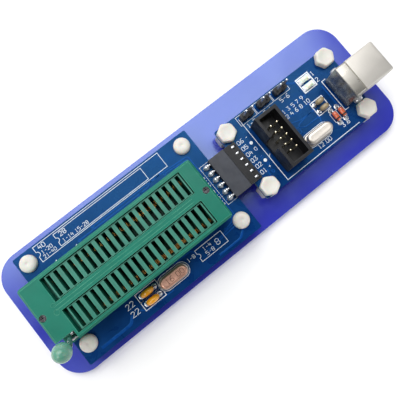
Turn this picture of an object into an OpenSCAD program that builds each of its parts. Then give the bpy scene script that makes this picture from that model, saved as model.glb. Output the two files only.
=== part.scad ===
// USB microcontroller programmer on a base plate.
// Two circuit boards stand on one acrylic plate and plug into each other. The target board
// carries a forty-way zero-insertion-force socket, the programmer board a USB-B receptacle.
// Frame: +X along the plate towards the USB end, +Y across it, +Z up.
// Origin: centre of the face the plate rests on. Every length is in millimetres.

/* [Base plate] */
// Length of the plate along X
plate_length = 148; // [144:1:170]
// Width of the plate along Y
plate_width = 47; // [45:1:70]
// Thickness of the acrylic
plate_thickness = 3; // [2.5:0.5:6]
// Corner radius of the plate
plate_corner = 9; // [2:1:15]

/* [Boards] */
// Thickness of both circuit boards
board_thickness = 1.6; // [1.2:0.4:2.4]
// Gap between the plate and the boards, the length of the spacers
spacer_height = 5; // [4.5:0.5:12]
// Drilled hole for the M3 screws in boards and plate
screw_hole = 3.2; // [3.2:0.1:3.6]

/* [Target socket] */
// Number of contact positions in each row
socket_positions = 20; // [18:1:20]
// Width of each opening in the sliding comb, across the contact
slot_width = 1.3; // [0.9:0.1:1.5]
// Length of each opening, so narrow and wide chips both fit
slot_length = 7.2; // [5:0.1:7.4]
// Eccentricity of the cam that drives the comb
cam_offset = 0.7; // [0.4:0.05:0.7]
// Distance from the lever pivot to the middle of its knob
lever_length = 19.5; // [14:0.5:26]
// Diameter of the knob
knob_diameter = 5.4; // [4:0.2:7]

/* [Fasteners] */
// Diameter of the round screw heads on the target board
round_head = 5.8; // [5.2:0.1:7]
// Size across the flats of the hexagon heads on the programmer board
hex_flats = 6.2; // [5.4:0.1:6.6]
// Size across the flats of the spacers
spacer_flats = 6.0; // [5.4:0.1:6.6]

/* [USB receptacle] */
// Width of the metal shell
usb_width = 12; // [11.8:0.1:12.4]
// Length of the metal shell
usb_length = 16; // [15:0.5:18]
// Height of the metal shell above the board
usb_height = 11; // [10.6:0.1:11.4]

/* [Hidden] */
$fn = 48;
pitch = 2.54;
plate_top = plate_thickness;
board_bottom = plate_top + spacer_height;
board_top = board_bottom + board_thickness;
tail_z = board_bottom - 1.7;

// Shared fastener, pin and lead sizes
m3_r = 1.5;
shank_z0 = board_bottom - spacer_height / 2 + 0.3;
countersink_r = 3.05;
countersink_depth = 1.5;
driver_slot = 0.8;
round_head_height = 2.1;
round_head_crown = 0.6;
hex_head_height = 2.6;
pin_side = 0.64;
pin_hole_r = 0.5;
lead_r = 0.24;
lead_hole_r = 0.4;
bore_play = 0.02;

// Target board outline and screw pattern
target_x = -29;
target_y = -0.5;
target_length = 71;
target_width = 42;
target_hole_x = -29.2;
target_hole_y = 0.4;
target_hole_dx = 63;
target_hole_dy = 32;

// Programmer board outline and screw pattern
prog_x = 39;
prog_y = -1.1;
prog_length = 50;
prog_width = 29;
prog_hole_dx = 44;
prog_hole_dy = 23;

// Zero-insertion-force socket
zx = -31.2;
zy = -1.5;
zif_left = -65.1;
zif_right = -0.6;
zif_half_width = 11.1;
row_y = 7.62;
slot_y = 5.6;
base_z = board_top + 0.8;
part_z = board_top + 7.4;
zif_top = board_top + 14;
shaft_x = -60.6;
cam_r = 1.9;
cam_y = -6.5;
cam_length = 5;
travel = 2 * cam_offset * sin(45);
shaft_r = 1.0;
bearing_r = 1.05;
bearing_end = 4.6;
lever_bay = 4.0;
zif_bevel = 0.7;
zif_corner = 1.2;
zif_screw_r = 0.72;
zif_screw_head_r = 1.05;
slide_z0 = part_z + 0.25;
slide_z1 = part_z + 2.1;
comb_top = zif_top - 0.8;
comb_half = (socket_positions - 1) * pitch / 2 + slot_width / 2 + 0.45;
comb_y0 = slot_y - 3.85;
comb_y1 = slot_y + 3.85;
arm_y = -11.05;
knob_y = -12.7;
arm_r = 0.75;
bend_r = 0.82;
eye_r = 1.65;
bend_low = 8.2;
bend_high = 10.6;
zif_screw_x = [-63.45, -2.45];

// Connector between the boards
link_y = -1;
link_pin_z = board_top + 1.5;
socket_leg_x = 4.35;
socket_x0 = 5.7;
socket_x1 = 12.1;
strip_x0 = 12.2;
strip_x1 = 14.7;
strip_leg_x = 16.3;
strip_height = 2.8;

// Box header, jumpers and small parts on the programmer board
box_x = 29.45;
box_y = -2.7;
box_dx = 8.8;
box_dy = 20;
box_height = 8.9;
box_wall = 1.15;
box_floor = 2.5;
jumper_y = 11.25;
jumper_x = [26.4, 33.8, 41.2];
crystal_x = 41.8;
crystal_y = -9.25;
target_crystal_x = -26.7;
target_crystal_y = -16.1;
can_length = 10.3;
can_width = 3.9;
crystal_lead_x = 2.44;
diode_x = [50.9, 53.6];
diode_y = -8.2;
lamp_x = 50.75;
lamp_y = [8.9, 6.15];
small_cap_x = 49.3;
small_cap_y = [-0.55, -3.2];
disc_x = -36.3;
disc_y = [-14.55, -17.6];
disc_r = 2.5;
disc_z = board_top + 2.9;
kink_z = board_top + 0.5;
kink_angle = 35;
small_disc_r = 1.75;
small_disc_z = board_top + 1.9;
diode_z = board_top + 1.0;

// USB receptacle and the parts under the boards
usb_x = 56;
usb_y = -2;
usb_pin_x = 2.2;
usb_pin_step = 2.0;
usb_pin_y = 1.25;
tongue_z = board_top + 5.62;
tongue_half = 1.575;
chip_x = 38;
chip_y = -1.5;
chip_side = 7;

// ---- Helpers ----

module target_holes() {
  for (sx = [-1, 1], sy = [-1, 1])
    translate([target_hole_x + sx * target_hole_dx / 2, target_hole_y + sy * target_hole_dy / 2, 0])
      children();
}

module prog_holes() {
  for (sx = [-1, 1], sy = [-1, 1])
    translate([prog_x + sx * prog_hole_dx / 2, prog_y + sy * prog_hole_dy / 2, 0])
      children();
}

// A block standing on z0, centred on x and y
module block(x, y, z0, dx, dy, dz) {
  translate([x - dx / 2, y - dy / 2, z0])
    cube([dx, dy, dz]);
}

// Flat plate with round corners
module rounded_plate(dx, dy, r, t) {
  union() {
    block(0, 0, 0, dx - 2 * r, dy, t);
    block(0, 0, 0, dx, dy - 2 * r, t);
    for (sx = [-1, 1], sy = [-1, 1])
      translate([sx * (dx / 2 - r), sy * (dy / 2 - r), 0])
        cylinder(r = r, h = t);
  }
}

// Block from (x0, y0) to (x1, y1) with bevelled top edges and round corners
module bevelled_block(x0, x1, y0, y1, z0, z1, c, r) {
  intersection() {
    translate([0, y1, 0])
      rotate([90, 0, 0])
        linear_extrude(height = y1 - y0)
          polygon([[x0, z0], [x1, z0], [x1, z1 - c], [x1 - c, z1], [x0 + c, z1], [x0, z1 - c]]);
    translate([x0, 0, 0])
      rotate([90, 0, 90])
        linear_extrude(height = x1 - x0)
          polygon([[y0, z0], [y1, z0], [y1, z1 - c], [y1 - c, z1], [y0 + c, z1], [y0, z1 - c]]);
    translate([(x0 + x1) / 2, (y0 + y1) / 2, z0])
      rounded_plate(x1 - x0, y1 - y0, r, z1 - z0);
  }
}

// Cylinder lying along Y from y0 to y1
module y_rod(x, z, y0, y1, r) {
  translate([x, y1, z])
    rotate([90, 0, 0])
      cylinder(r = r, h = y1 - y0);
}

// One child at every contact position: both rows of the socket
module socket_sites() {
  for (i = [0 : socket_positions - 1], s = [-1, 1])
    translate([zx + (i - (socket_positions - 1) / 2) * pitch, zy, 0])
      turned(s)
        children();
}

// Turns a site half a turn for the row on the other side
module turned(s) {
  rotate([0, 0, s > 0 ? 0 : 180])
    children();
}

// Oval can of a low crystal, standing on z0
module oval_can(x, y, z0, length, width, height) {
  union() {
    block(x, y, z0, length - width, width, height);
    for (s = [-1, 1])
      translate([x + s * (length - width) / 2, y, z0])
        cylinder(r = width / 2, h = height);
  }
}

// Can with a domed lid edge, made of two steps
module crystal_can(x, y) {
  union() {
    oval_can(x, y, board_top + 0.45, can_length, can_width, 2.65);
    oval_can(x, y, board_top + 0.45, can_length - 0.6, can_width - 0.6, 3.05);
  }
}

// Flange and two leads of a low crystal
module crystal_foot(x, y) {
  union() {
    oval_can(x, y, board_top + 0.02, can_length + 0.8, can_width + 0.7, 0.4);
    for (s = [-1, 1])
      translate([x + s * crystal_lead_x, y, tail_z])
        cylinder(r = lead_r, h = board_top - tail_z + 0.1);
  }
}

// ---- Plate, spacers and screws ----

module base_plate() {
  color("#2a35b8")
    difference() {
      rounded_plate(plate_length, plate_width, plate_corner, plate_thickness);
      target_holes() plate_bore();
      prog_holes() plate_bore();
    }
}

// Countersunk hole through the plate
module plate_bore() {
  union() {
    translate([0, 0, -1])
      cylinder(d = screw_hole, h = plate_thickness + 2);
    translate([0, 0, -0.01])
      cylinder(r1 = countersink_r, r2 = screw_hole / 2, h = countersink_depth);
  }
}

module spacers() {
  color("#e9e9e4") {
    target_holes() spacer(0);
    prog_holes() spacer(30);
  }
}

// Hexagonal nylon spacer with a bore for both screws
module spacer(turn) {
  translate([0, 0, plate_top])
    difference() {
      rotate([0, 0, turn])
        cylinder(d = spacer_flats / cos(30), h = spacer_height, $fn = 6);
      translate([0, 0, -1])
        cylinder(r = m3_r + 0.05, h = spacer_height + 2);
    }
}

module plate_screws() {
  color("#ecece8") {
    target_holes() plate_screw();
    prog_holes() plate_screw();
  }
}

// Countersunk nylon screw driven up from below
module plate_screw() {
  difference() {
    union() {
      translate([0, 0, 0.15])
        cylinder(r1 = countersink_r - 0.3, r2 = m3_r, h = countersink_depth - 0.25);
      translate([0, 0, 1])
        cylinder(r = m3_r, h = plate_top + spacer_height / 2 - 1.3);
    }
    block(0, 0, 0, driver_slot, 4.2, 0.75);
  }
}

module round_screws() {
  color("#f2f2ee")
    target_holes() round_screw();
}

// Low pan head with a bevelled rim
module round_screw() {
  union() {
    translate([0, 0, board_top])
      cylinder(d = round_head, h = round_head_height - round_head_crown);
    translate([0, 0, board_top + round_head_height - round_head_crown])
      cylinder(d1 = round_head, d2 = round_head - 1.6, h = round_head_crown);
    screw_shank();
  }
}

// Shank of an upper screw, down through the board into the spacer
module screw_shank() {
  translate([0, 0, shank_z0])
    cylinder(r = m3_r, h = board_top + 0.3 - shank_z0);
}

module hex_screws() {
  color("#f2f2ee")
    for (sx = [-1, 1], sy = [-1, 1])
      translate([prog_x + sx * prog_hole_dx / 2, prog_y + sy * prog_hole_dy / 2, 0])
        hex_screw(sx < 0 ? 30 : 0);
}

// Hexagon head with a bevelled crown
module hex_screw(turn) {
  union() {
    intersection() {
      translate([0, 0, board_top])
        rotate([0, 0, turn])
          cylinder(d = hex_flats / cos(30), h = hex_head_height, $fn = 6);
      translate([0, 0, board_top - 1])
        cylinder(d1 = hex_flats + 6, d2 = hex_flats - 0.2, h = hex_head_height + 1);
    }
    screw_shank();
  }
}

// ---- Boards ----

module target_board() {
  color("#0d2f6b")
    difference() {
      translate([target_x, target_y, board_bottom])
        rounded_plate(target_length, target_width, 0.6, board_thickness);
      target_holes() board_bore(screw_hole / 2);
      socket_sites()
        translate([0, row_y, 0])
          board_bore(pin_hole_r);
      link_sites(socket_leg_x) board_bore(pin_hole_r);
      for (s = [-1, 1])
        translate([target_crystal_x + s * crystal_lead_x, target_crystal_y, 0])
          board_bore(lead_hole_r);
      for (y = disc_y, s = [-1, 1])
        translate([disc_x + s * pitch, y, 0])
          board_bore(lead_hole_r);
    }
}

module programmer_board() {
  color("#0d2f6b")
    difference() {
      translate([prog_x, prog_y, board_bottom])
        rounded_plate(prog_length, prog_width, 0.6, board_thickness);
      prog_holes() board_bore(screw_hole / 2);
      link_sites(strip_leg_x) board_bore(pin_hole_r);
      box_sites() board_bore(pin_hole_r);
      jumper_sites() board_bore(pin_hole_r);
      for (s = [-1, 1])
        translate([crystal_x + s * crystal_lead_x, crystal_y, 0])
          board_bore(lead_hole_r);
      for (x = diode_x, s = [-1, 1])
        translate([x, diode_y + s * pitch, 0])
          board_bore(lead_hole_r);
      for (y = small_cap_y, s = [-1, 1])
        translate([small_cap_x + s * pitch / 2, y, 0])
          board_bore(lead_hole_r);
      usb_pin_sites() board_bore(pin_hole_r);
      usb_tab_sites() board_bore(1.2);
    }
}

// Drilled hole through a board
module board_bore(r) {
  translate([0, 0, board_bottom - 1])
    cylinder(r = r, h = board_thickness + 2);
}

// ---- Zero-insertion-force socket ----

module zif_base() {
  color("#1f7f60")
    difference() {
      union() {
        translate([(zif_left + zif_right) / 2, zy, base_z])
          rounded_plate(zif_right - zif_left - 0.4, 2 * zif_half_width - 0.4, zif_corner,
            part_z - base_z);
        for (x = [zif_left + 2.2, zif_right - 2.4], s = [-1, 1])
          translate([x, zy + s * 9.2, board_top])
            cylinder(r = 1, h = 1.2);
      }
      // Chambers for the contacts and the holes for their legs
      socket_sites() {
        block(0, slot_y, base_z + 1.2, 1.5, 7.4, 10);
        block(0, row_y, base_z - 1, 0.8, 0.8, 4);
      }
      // Lower half of the shaft bearing, room for the cam and for the lever
      y_rod(shaft_x, part_z, zy - zif_half_width - 1, bearing_end, bearing_r);
      block(shaft_x, cam_y, part_z - 2, 5.8, cam_length + 0.6, 3);
      translate([zif_left - 1, zy - zif_half_width - 1, part_z - 2.1])
        cube([shaft_x + 2.1 - zif_left + 1, lever_bay, 5]);
      for (x = zif_screw_x)
        translate([x, zy, part_z - 4.2])
          cylinder(r = zif_screw_r + 0.08, h = 6);
    }
}

module zif_cover() {
  color("#23906c")
    difference() {
      bevelled_block(zif_left, zif_right, zy - zif_half_width, zy + zif_half_width,
        part_z, zif_top, zif_bevel, zif_corner);
      // Two windows over the comb
      for (s = [-1, 1])
        translate([zx - comb_half - travel - 0.3, s > 0 ? zy + comb_y0 - 0.25 : zy - comb_y1 - 0.25,
            part_z - 1])
          cube([2 * comb_half + travel + 0.6, comb_y1 - comb_y0 + 0.5, 20]);
      // Recess for the comb plate, and for its yoke beside the screw
      translate([zx - comb_half - 1.4 - travel - 0.35, zy - 10.35, part_z - 1])
        cube([2 * comb_half + 2.8 + travel + 0.7, 20.7, slide_z1 + 0.3 - part_z + 1]);
      translate([zif_left + 0.8, cam_y - 3.5, part_z - 1])
        cube([9, 7, slide_z1 + 0.3 - part_z + 1]);
      // Headroom for the cam
      block(shaft_x, cam_y, part_z - 1, 5.9, cam_length + 0.6, 4.1);
      // Upper half of the shaft bearing, and the open corner for the lever
      y_rod(shaft_x, part_z, zy - zif_half_width - 1, bearing_end, bearing_r);
      translate([zif_left - 1, zy - zif_half_width - 1, part_z - 1])
        cube([shaft_x + 2.1 - zif_left + 1, lever_bay, 20]);
      // Counterbored screw holes
      for (x = zif_screw_x) {
        translate([x, zy, part_z - 1])
          cylinder(r = zif_screw_r + 0.08, h = 20);
        translate([x, zy, zif_top - 1.7])
          cylinder(r = zif_screw_head_r + 0.1, h = 5);
      }
    }
}

module zif_slider() {
  color("#3fa37c")
    difference() {
      union() {
        block(zx, zy, slide_z0, 2 * comb_half + 2.8, 20, slide_z1 - slide_z0);
        for (s = [-1, 1])
          block(zx, zy + s * slot_y, slide_z0, 2 * comb_half, comb_y1 - comb_y0,
            comb_top - slide_z0);
        translate([shaft_x + travel / 2 - cam_r - 1, cam_y - 3.2, slide_z0])
          cube([9, 6.4, slide_z1 - slide_z0]);
      }
      // Forty openings for chip legs
      socket_sites()
        block(0, slot_y, part_z - 1, slot_width, slot_length, 20);
      // Yoke that the cam works in, with room for the shaft on both sides of the cam
      block(shaft_x + travel / 2, cam_y, part_z - 1, 2 * cam_r + 0.12, cam_length + 0.5, 6);
      block(shaft_x + travel / 2, cam_y, part_z - 1, 2 * shaft_r + travel + 0.3, 8,
        shaft_r + 1.15);
    }
}

module zif_contacts() {
  color("#c98a3a")
    socket_sites()
      zif_contact();
}

// Forked spring contact with a leg through the board
module zif_contact() {
  union() {
    block(0, row_y, base_z + 1.25, 1.2, 1.5, 0.4);
    for (s = [-1, 1])
      block(s * 0.475, row_y, base_z + 1.5, 0.25, 1.5, part_z - base_z - 1.9);
    block(0, row_y, tail_z, 0.5, 0.5, base_z + 1.4 - tail_z);
  }
}

module cam_shaft() {
  color("#b9bcc0")
    union() {
      y_rod(shaft_x, part_z, arm_y - 0.9, bearing_end - 0.4, shaft_r);
      y_rod(shaft_x + cam_offset * sin(45), part_z + cam_offset * cos(45),
        cam_y - cam_length / 2, cam_y + cam_length / 2, cam_r);
    }
}

module lever_arm() {
  color("#c4c7ca")
    difference() {
      union() {
        y_rod(shaft_x, part_z, arm_y - 0.9, arm_y + 0.9, eye_r);
        translate([shaft_x, arm_y, part_z + shaft_r])
          cylinder(r = arm_r, h = bend_low - shaft_r);
        translate([shaft_x, arm_y, part_z + bend_low])
          sphere(r = bend_r);
        translate([shaft_x, arm_y, part_z + bend_low])
          rotate([atan2(arm_y - knob_y, bend_high - bend_low), 0, 0])
            cylinder(r = arm_r, h = norm([arm_y - knob_y, bend_high - bend_low]));
        translate([shaft_x, knob_y, part_z + bend_high])
          sphere(r = bend_r);
        translate([shaft_x, knob_y, part_z + bend_high])
          cylinder(r = arm_r, h = lever_length - bend_high);
      }
      y_rod(shaft_x, part_z, arm_y - 2, arm_y + 2, shaft_r + bore_play);
    }
}

module lever_knob() {
  color("#7fbf95")
    translate([shaft_x, knob_y, part_z + lever_length])
      difference() {
        union() {
          sphere(d = knob_diameter);
          translate([0, 0, -2.4])
            cylinder(d1 = knob_diameter * 0.62, d2 = knob_diameter * 0.955, h = 1.6);
          translate([0, 0, -0.805])
            cylinder(d = knob_diameter * 0.955, h = 1.6);
          translate([0, 0, 0.8])
            cylinder(d1 = knob_diameter * 0.955, d2 = knob_diameter * 0.62, h = 2.3);
          translate([0, 0, 2.2])
            sphere(d = knob_diameter * 0.72);
        }
        translate([0, 0, -10])
          cylinder(r = arm_r + 0.03, h = 10.3);
      }
}

module zif_screws() {
  color("#3a3a3c")
    for (x = zif_screw_x)
      translate([x, zy, 0])
        zif_screw();
}

// Small cross-slot screw that holds the cover to the base
module zif_screw() {
  difference() {
    union() {
      translate([0, 0, zif_top - 1.65])
        cylinder(r = zif_screw_head_r, h = 1.3);
      translate([0, 0, part_z - 4])
        cylinder(r = zif_screw_r, h = zif_top - 1.6 - part_z + 4);
    }
    block(0, 0, zif_top - 0.9, 0.35, 1.5, 1);
    block(0, 0, zif_top - 0.9, 1.5, 0.35, 1);
  }
}

// ---- Small parts on the target board ----

module disc_capacitors() {
  color("#e0a11f")
    for (y = disc_y)
      translate([disc_x, y, 0])
        difference() {
          union() {
            y_rod(0, disc_z, -0.75, 0.75, disc_r);
            y_rod(0, disc_z, -1.15, 1.15, disc_r - 0.6);
          }
          for (s = [-1, 1])
            leaning_lead(s, bore_play);
        }
}

module disc_leads() {
  color("#c9ccd0")
    for (y = disc_y, s = [-1, 1])
      translate([disc_x, y, 0])
        union() {
          translate([s * pitch, 0, tail_z])
            cylinder(r = lead_r, h = kink_z - tail_z);
          translate([s * pitch, 0, kink_z])
            sphere(r = lead_r + 0.03);
          leaning_lead(s, 0);
        }
}

// Upper part of a lead, which leans into the disc
module leaning_lead(s, grow) {
  translate([s * pitch, 0, kink_z])
    rotate([0, -s * kink_angle, 0])
      cylinder(r = lead_r + grow, h = 2.2 + grow);
}

module target_crystal() {
  color("#c9b3a6")
    crystal_can(target_crystal_x, target_crystal_y);
}

module target_crystal_foot() {
  color("#bdbfc2")
    crystal_foot(target_crystal_x, target_crystal_y);
}

// ---- Plug connection between the boards ----

module link_sites(x) {
  for (i = [-2.5 : 1 : 2.5])
    translate([x, link_y + i * pitch, 0])
      children();
}

module socket_strip() {
  color("#1b1c20")
    difference() {
      translate([socket_x0, link_y - 7.75, board_top + 0.1])
        cube([socket_x1 - socket_x0, 15.5, strip_height]);
      link_sites(socket_x0 + 3)
        block(0, 0, link_pin_z - 0.42, 20, 0.84, 0.84);
    }
}

// Contact that reaches back out of the housing and down through the board
module socket_strip_pins() {
  color("#d4d6d8")
    link_sites(0)
      union() {
        translate([socket_leg_x - 0.3, -0.3, link_pin_z - 0.3])
          cube([socket_x0 + 1 - socket_leg_x, 0.6, 0.6]);
        translate([socket_leg_x - 0.3, -0.3, tail_z])
          cube([0.6, 0.6, link_pin_z + 0.3 - tail_z]);
      }
}

module pin_strip() {
  color("#221c1a")
    difference() {
      union() {
        translate([strip_x0, link_y - 3 * pitch, board_top + 0.1])
          cube([strip_x1 - strip_x0, 6 * pitch, strip_height - 0.1]);
        translate([strip_x1 - 0.5, link_y - 3 * pitch, board_top + 0.1])
          cube([2.9, 6 * pitch, 1.05]);
      }
      link_sites(0) {
        translate([strip_x0 - 1, -0.34, link_pin_z - 0.34])
          cube([strip_x1 - strip_x0 + 2, 0.68, 0.68]);
        translate([strip_leg_x - 0.4, -0.4, board_top - 1])
          cube([0.8, 0.8, 4]);
      }
    }
}

// Bent pin that reaches through the strip into the socket
module pin_strip_pins() {
  color("#dcdee0")
    link_sites(0)
      union() {
        translate([socket_x0 + 1.2, -pin_side / 2, link_pin_z - pin_side / 2])
          cube([strip_leg_x + pin_side / 2 - socket_x0 - 1.2, pin_side, pin_side]);
        translate([strip_leg_x - pin_side / 2, -pin_side / 2, tail_z])
          cube([pin_side, pin_side, link_pin_z + pin_side / 2 - tail_z]);
      }
}

// ---- Box header and jumper headers ----

module box_sites() {
  for (i = [-2 : 2], s = [-0.5, 0.5])
    translate([box_x + s * pitch, box_y + i * pitch, 0])
      children();
}

module box_shroud() {
  color("#17181b")
    difference() {
      block(box_x, box_y, board_top, box_dx, box_dy, box_height);
      block(box_x, box_y, board_top + box_floor, box_dx - 2 * box_wall, box_dy - 2 * box_wall, 20);
      // Key slot in the wall that faces the other board
      block(box_x - box_dx / 2, box_y, board_top + box_floor, 4, 4.2, 20);
      box_sites()
        block(0, 0, board_top - 1, 0.7, 0.7, 5);
    }
}

module box_pins() {
  color("#d9c27a")
    box_sites()
      square_pin(board_top + 8.2);
}

// Square pin from under the board to the given height, with a bevelled tip
module square_pin(top) {
  intersection() {
    block(0, 0, tail_z, pin_side, pin_side, top - tail_z);
    translate([0, 0, tail_z - 1])
      cylinder(r1 = (top - tail_z + 1) * 0.7, r2 = 0.22, h = top - tail_z + 1);
  }
}

module jumper_sites() {
  for (x = jumper_x, s = [-0.5, 0.5])
    translate([x + s * pitch, jumper_y, 0])
      children();
}

module jumper_blocks() {
  color("#1c1d20")
    for (x = jumper_x)
      difference() {
        block(x, jumper_y, board_top, 2 * pitch, 2.5, 2.5);
        for (s = [-0.5, 0.5])
          block(x + s * pitch, jumper_y, board_top - 1, 0.7, 0.7, 5);
        for (s = [-1, 0, 1], t = [-1, 1])
          translate([x + s * pitch, jumper_y + t * 1.25, board_top - 1])
            rotate([0, 0, 45])
              block(0, 0, 0, 0.6, 0.6, 5);
      }
}

module jumper_pins() {
  color("#d5d7d9")
    jumper_sites()
      square_pin(board_top + 8.3);
}

// ---- Small parts on the programmer board ----

module programmer_crystal() {
  color("#cfd1d3")
    crystal_can(crystal_x, crystal_y);
}

module programmer_crystal_foot() {
  color("#bdbfc2")
    crystal_foot(crystal_x, crystal_y);
}

// Two clear lamps, each a flat body with a low lens
module status_lamps() {
  color("#eef0ea")
    for (y = lamp_y)
      union() {
        block(lamp_x, y, board_top + 0.02, 4.2, 1.9, 0.75);
        block(lamp_x, y, board_top + 0.5, 2.9, 1.7, 1.1);
      }
}

module small_capacitors() {
  color("#a79a83")
    for (y = small_cap_y)
      translate([small_cap_x, y, 0])
        difference() {
          union() {
            y_rod(0, small_disc_z, -0.55, 0.55, small_disc_r);
            y_rod(0, small_disc_z, -0.95, 0.95, small_disc_r - 0.45);
          }
          for (s = [-1, 1])
            translate([s * pitch / 2, 0, board_top - 1])
              cylinder(r = lead_r + bore_play, h = 2.32);
        }
}

module small_leads() {
  color("#c9ccd0")
    for (y = small_cap_y, s = [-1, 1])
      translate([small_cap_x + s * pitch / 2, y, tail_z])
        cylinder(r = lead_r, h = board_top + 1.3 - tail_z);
}

module diode_glass() {
  color("#c4532a")
    for (x = diode_x)
      difference() {
        y_rod(x, diode_z, diode_y - 1.7, diode_y + 1.7, 0.9);
        y_rod(x, diode_z, diode_y - 3, diode_y + 3, lead_r + bore_play);
      }
}

// Lead through each diode, bent down through the board at both ends
module diode_leads() {
  color("#cfd2d5")
    for (x = diode_x)
      union() {
        y_rod(x, diode_z, diode_y - pitch, diode_y + pitch, lead_r);
        for (s = [-1, 1]) {
          translate([x, diode_y + s * pitch, diode_z])
            sphere(r = lead_r);
          translate([x, diode_y + s * pitch, tail_z])
            cylinder(r = lead_r, h = diode_z - tail_z);
        }
      }
}

// ---- USB receptacle ----

module usb_pin_sites() {
  for (i = [0, 1], s = [-1, 1])
    translate([usb_x + usb_pin_x + usb_pin_step * i, usb_y + s * usb_pin_y, 0])
      children();
}

module usb_tab_sites() {
  for (s = [-1, 1])
    translate([usb_x + 5.2, usb_y + s * (usb_width / 2 + 0.05), 0])
      children();
}

module usb_shell() {
  color("#c9c9c6")
    union() {
      difference() {
        block(usb_x + usb_length / 2, usb_y, board_top + 0.05, usb_length, usb_width, usb_height);
        block(usb_x + usb_length / 2 + 0.4, usb_y, board_top - 1, usb_length, usb_width - 0.8,
          usb_height + 0.65);
      }
      // Solder tabs through the board
      usb_tab_sites()
        block(0, 0, tail_z, 1.8, 0.4, board_top + 2 - tail_z);
      // Rolled front lip
      difference() {
        block(usb_x + usb_length - 0.3, usb_y, board_top + 0.35, 0.6, usb_width - 0.4,
          usb_height - 0.5);
        usb_mouth(usb_x + usb_length - 2, 4, 0.12);
      }
    }
}

// Mouth of a type-B receptacle, bevelled at both upper corners
module usb_mouth(x0, depth, grow) {
  translate([x0, usb_y, board_top + 1.75])
    rotate([90, 0, 90])
      linear_extrude(height = depth)
        polygon([[-4.25 - grow, -grow], [4.25 + grow, -grow], [4.25 + grow, 5.6],
          [2.6, 7.75 + grow], [-2.6, 7.75 + grow], [-4.25 - grow, 5.6]]);
}

module usb_insert() {
  color("#26272b")
    difference() {
      union() {
        difference() {
          block(usb_x + usb_length / 2 - 0.1, usb_y, board_top + 0.1, usb_length - 1.1,
            usb_width - 0.9, usb_height - 0.5);
          usb_mouth(usb_x + 6.2, 12, 0);
        }
        block(usb_x + 10.3, usb_y, tongue_z - tongue_half, 8.6, 5.6, 2 * tongue_half);
      }
      // Channels that hold the four contacts
      usb_contact_sites()
        block(0, 0, -0.3, 14.6, 1.1, 0.6);
      usb_pin_sites()
        block(0, 0, board_top - 1, pin_side + 0.1, pin_side + 0.1, 9.2);
    }
}

// Upper and lower faces of the tongue, two contacts on each
module usb_contact_sites() {
  for (s = [-1, 1], t = [-1, 1])
    translate([usb_x + 9.1, usb_y + s * usb_pin_y, tongue_z + t * tongue_half])
      children();
}

module usb_contacts() {
  color("#d8b65c")
    for (s = [-1, 1], t = [0, 1])
      union() {
        translate([usb_x + usb_pin_x + usb_pin_step * (1 - t), usb_y + s * usb_pin_y, 0])
          block(0, 0, tail_z, 0.6, 0.6, tongue_z - 1.62 + t * 3.25 - tail_z);
        translate([usb_x + usb_pin_x - 0.3 + usb_pin_step * (1 - t), usb_y + s * usb_pin_y - 0.4,
            tongue_z - 1.8 + t * 2 * tongue_half])
          cube([11.6 - usb_pin_step * (1 - t), 0.8, 0.3]);
      }
}

// ---- Under the programmer board ----

module controller_chip() {
  color("#202226")
    block(chip_x, chip_y, board_bottom - 1.2, chip_side, chip_side, 1.1);
}

// Gull-wing legs on all four sides
module chip_legs() {
  color("#c3c6c9")
    for (side = [0 : 3], i = [-3.5 : 1 : 3.5])
      translate([chip_x, chip_y, 0])
        rotate([0, 0, side * 90])
          union() {
            block(chip_side / 2 + 0.3, i * 0.8, board_bottom - 0.7, 0.6, 0.37, 0.15);
            block(chip_side / 2 + 0.55, i * 0.8, board_bottom - 0.7, 0.15, 0.37, 0.68);
            block(chip_side / 2 + 0.8, i * 0.8, board_bottom - 0.17, 0.6, 0.37, 0.15);
          }
}

// Surface-mounted resistors beside the chip
module chip_resistors() {
  color("#2b2c30")
    for (i = [0 : 5])
      block(46.5 + 2.4 * (i % 2), chip_y - 5 + 3.6 * floor(i / 2), board_bottom - 0.57,
        1.25, 2.0, 0.55);
}

// ---- Output ----

base_plate();
spacers();
plate_screws();
round_screws();
hex_screws();
target_board();
programmer_board();
zif_base();
zif_slider();
zif_cover();
zif_contacts();
cam_shaft();
lever_arm();
lever_knob();
zif_screws();
disc_capacitors();
disc_leads();
target_crystal();
target_crystal_foot();
socket_strip();
socket_strip_pins();
pin_strip();
pin_strip_pins();
box_shroud();
box_pins();
jumper_blocks();
jumper_pins();
programmer_crystal();
programmer_crystal_foot();
status_lamps();
small_capacitors();
small_leads();
diode_glass();
diode_leads();
usb_shell();
usb_insert();
usb_contacts();
controller_chip();
chip_legs();
chip_resistors();
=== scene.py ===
"""Looks of the USB microcontroller programmer: finishes, small parts, board printing, light, camera.

Lengths are millimetres until piece() turns them into metres. The frame is the CAD model's:
+X along the plate towards the USB end, +Y away from the lever's side, +Z up.
"""

import random
from math import cos, pi, radians, sin

import bmesh
import bpy
from mathutils import Matrix, Quaternion, Vector


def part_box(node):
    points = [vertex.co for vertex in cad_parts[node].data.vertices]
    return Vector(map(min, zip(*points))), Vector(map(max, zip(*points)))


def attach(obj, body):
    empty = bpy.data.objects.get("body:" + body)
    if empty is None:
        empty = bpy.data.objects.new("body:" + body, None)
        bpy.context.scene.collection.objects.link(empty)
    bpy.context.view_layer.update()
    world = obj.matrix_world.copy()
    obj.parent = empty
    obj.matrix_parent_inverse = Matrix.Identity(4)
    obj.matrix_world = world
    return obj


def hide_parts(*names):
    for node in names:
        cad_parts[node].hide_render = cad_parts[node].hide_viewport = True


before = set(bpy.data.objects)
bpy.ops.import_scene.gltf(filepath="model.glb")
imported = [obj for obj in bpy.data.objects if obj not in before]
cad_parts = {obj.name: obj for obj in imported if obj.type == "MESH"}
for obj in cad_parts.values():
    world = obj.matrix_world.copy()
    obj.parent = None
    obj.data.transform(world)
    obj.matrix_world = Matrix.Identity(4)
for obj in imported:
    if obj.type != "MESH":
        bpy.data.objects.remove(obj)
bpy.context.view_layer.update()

MM = 0.001
PITCH = 2.54
rng = random.Random(11)


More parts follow.
